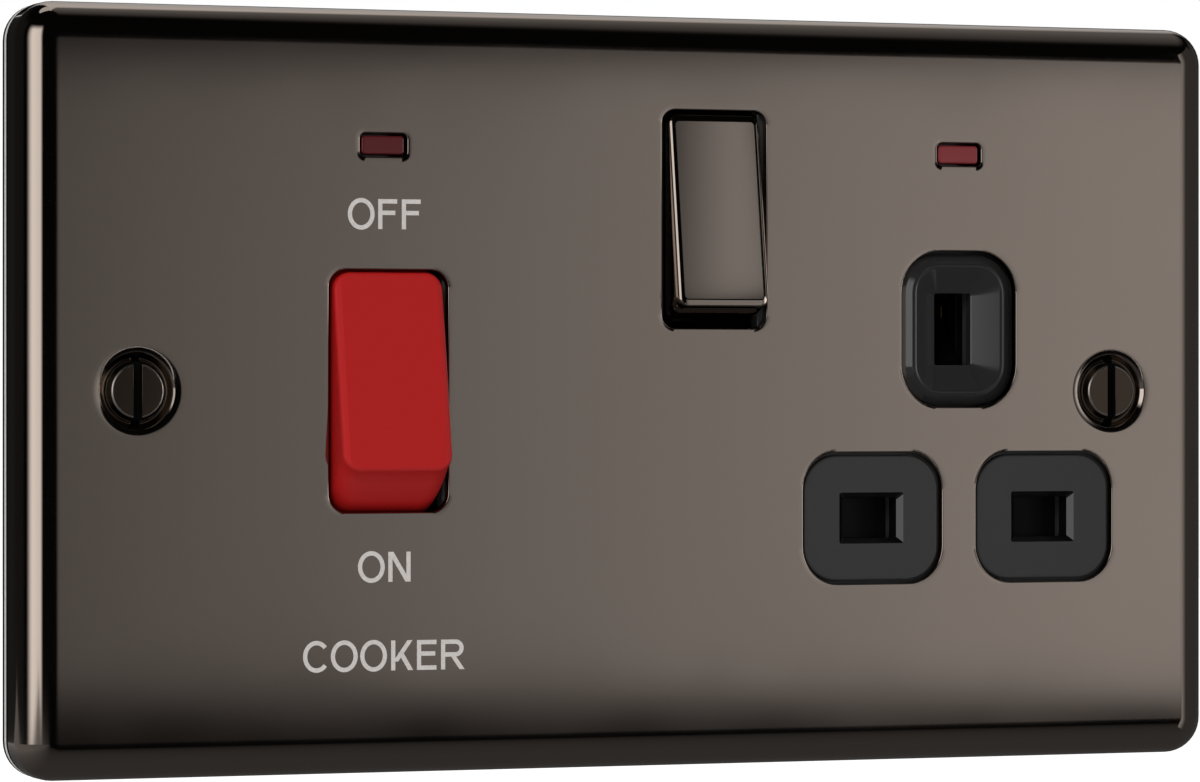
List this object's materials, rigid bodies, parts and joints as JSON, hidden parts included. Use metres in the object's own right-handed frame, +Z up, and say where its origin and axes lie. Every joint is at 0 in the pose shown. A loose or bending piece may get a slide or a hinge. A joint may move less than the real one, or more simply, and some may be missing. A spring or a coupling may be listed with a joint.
{
  "type": "cooker control unit",
  "caption": "Wall-mounted cooker control unit: pressed plate with a rocker cooker switch, a switched three-pin socket and neon indicator windows.",
  "frame": {"origin": "middle of the wall plane behind the plate", "axes": "+Y into the wall, +Z up, +X to the right seen from the room"},
  "size_m": [0.147, 0.0396, 0.087],
  "materials": {
    "black_nickel": "polished black nickel plate",
    "pale_gasket": "pale soft sheet",
    "black_plastic": "satin black moulding",
    "base_plastic": "dark moulded base",
    "shutter_plastic": "dark moulding",
    "red_plastic": "satin red moulding",
    "plated_plastic": "moulding with a polished black nickel cap",
    "steel": "zinc plated",
    "brass": "stamped and machined",
    "red_lens": "dark red window",
    "lamp_glass": "clear",
    "resistor_body": "lacquered"
  },
  "bodies": {
    "wall_unit": {"face_plate": "black_nickel", "wall_gasket": "pale_gasket", "fixing_screws": "black_nickel", "weld_nuts": "steel", "switch_yoke": "black_plastic", "socket_front": "black_plastic", "contact_carrier": "black_plastic", "rear_base": "base_plastic", "base_screws": "steel", "shutter_spring": "steel", "line_busbar": "brass", "neutral_busbar": "brass", "earth_busbar": "brass", "socket_line_strap": "brass", "line_pin_contact": "brass", "neutral_pin_contact": "brass", "earth_pin_contact": "brass", "terminal_screws": "steel", "earth_terminal_screws": "steel", "load_line_strap": "brass", "load_line_terminal": "brass", "supply_line_strap": "brass", "supply_line_terminal": "brass", "load_neutral_strap": "brass", "load_neutral_terminal": "brass", "supply_neutral_strap": "brass", "supply_neutral_terminal": "brass", "load_earth_terminal": "brass", "supply_earth_terminal": "brass", "cooker_neon_lens": "red_lens", "cooker_neon_lamp": "lamp_glass", "cooker_neon_resistor": "resistor_body", "socket_neon_lens": "red_lens", "socket_neon_lamp": "lamp_glass", "socket_neon_resistor": "resistor_body"},
    "cooker_rocker": {"cooker_rocker": "red_plastic", "cooker_line_plunger_spring": "steel", "cooker_neutral_plunger_spring": "steel"},
    "cooker_line_plunger": {"cooker_line_plunger": "shutter_plastic"},
    "cooker_neutral_plunger": {"cooker_neutral_plunger": "shutter_plastic"},
    "cooker_line_arm": {"cooker_line_contact_arm": "brass"},
    "cooker_neutral_arm": {"cooker_neutral_contact_arm": "brass"},
    "socket_rocker": {"socket_rocker": "plated_plastic", "socket_plunger_spring": "steel"},
    "socket_plunger": {"socket_plunger": "shutter_plastic"},
    "socket_arm": {"socket_contact_arm": "brass"},
    "shutter": {"shutter": "shutter_plastic"}
  },
  "joints": [
    {"name": "cooker_rocker_tilt", "type": "hinge", "parent": "wall_unit", "child": "cooker_rocker", "pos_m": [-0.0307, 0.0017, 0], "axis": [1, 0, 0], "range_deg": [0, 20.4]},
    {"name": "cooker_line_plunger_slide", "type": "slide", "parent": "cooker_rocker", "child": "cooker_line_plunger", "axis": [0, -0.9842, 0.1771], "range_m": [0, 0.001], "stiffness_N_per_m": 400, "springref_m": -0.003, "deforming": ["cooker_line_plunger_spring"]},
    {"name": "cooker_line_arm_tilt", "type": "hinge", "parent": "wall_unit", "child": "cooker_line_arm", "pos_m": [-0.0341, 0.0129, 0], "axis": [1, 0, 0], "range_deg": [-15, 0]},
    {"name": "cooker_neutral_plunger_slide", "type": "slide", "parent": "cooker_rocker", "child": "cooker_neutral_plunger", "axis": [0, -0.9842, 0.1771], "range_m": [0, 0.001], "stiffness_N_per_m": 400, "springref_m": -0.003, "deforming": ["cooker_neutral_plunger_spring"]},
    {"name": "cooker_neutral_arm_tilt", "type": "hinge", "parent": "wall_unit", "child": "cooker_neutral_arm", "pos_m": [-0.0273, 0.0129, 0], "axis": [1, 0, 0], "range_deg": [-15, 0]},
    {"name": "socket_rocker_tilt", "type": "hinge", "parent": "wall_unit", "child": "socket_rocker", "pos_m": [0.0092, -0.00348, 0.0199], "axis": [1, 0, 0], "range_deg": [0, 17]},
    {"name": "socket_plunger_slide", "type": "slide", "parent": "socket_rocker", "child": "socket_plunger", "axis": [0, -0.989, 0.1478], "range_m": [0, 0.001], "stiffness_N_per_m": 400, "springref_m": -0.003, "deforming": ["socket_plunger_spring"]},
    {"name": "socket_arm_tilt", "type": "hinge", "parent": "wall_unit", "child": "socket_arm", "pos_m": [0.0092, 0.0129, 0.0199], "axis": [1, 0, 0], "range_deg": [-15, 0]},
    {"name": "shutter_slide", "type": "slide", "parent": "wall_unit", "child": "shutter", "axis": [0, 0, -1], "range_m": [0, 0.006], "stiffness_N_per_m": 80, "springref_m": -0.004, "deforming": ["shutter_spring"]}
  ],
  "couplings": [
    {"joint": "cooker_line_arm_tilt", "follows": "cooker_rocker_tilt", "ratio": -0.73529},
    {"joint": "cooker_neutral_arm_tilt", "follows": "cooker_rocker_tilt", "ratio": -0.73529},
    {"joint": "socket_arm_tilt", "follows": "socket_rocker_tilt", "ratio": -0.88235}
  ]
}
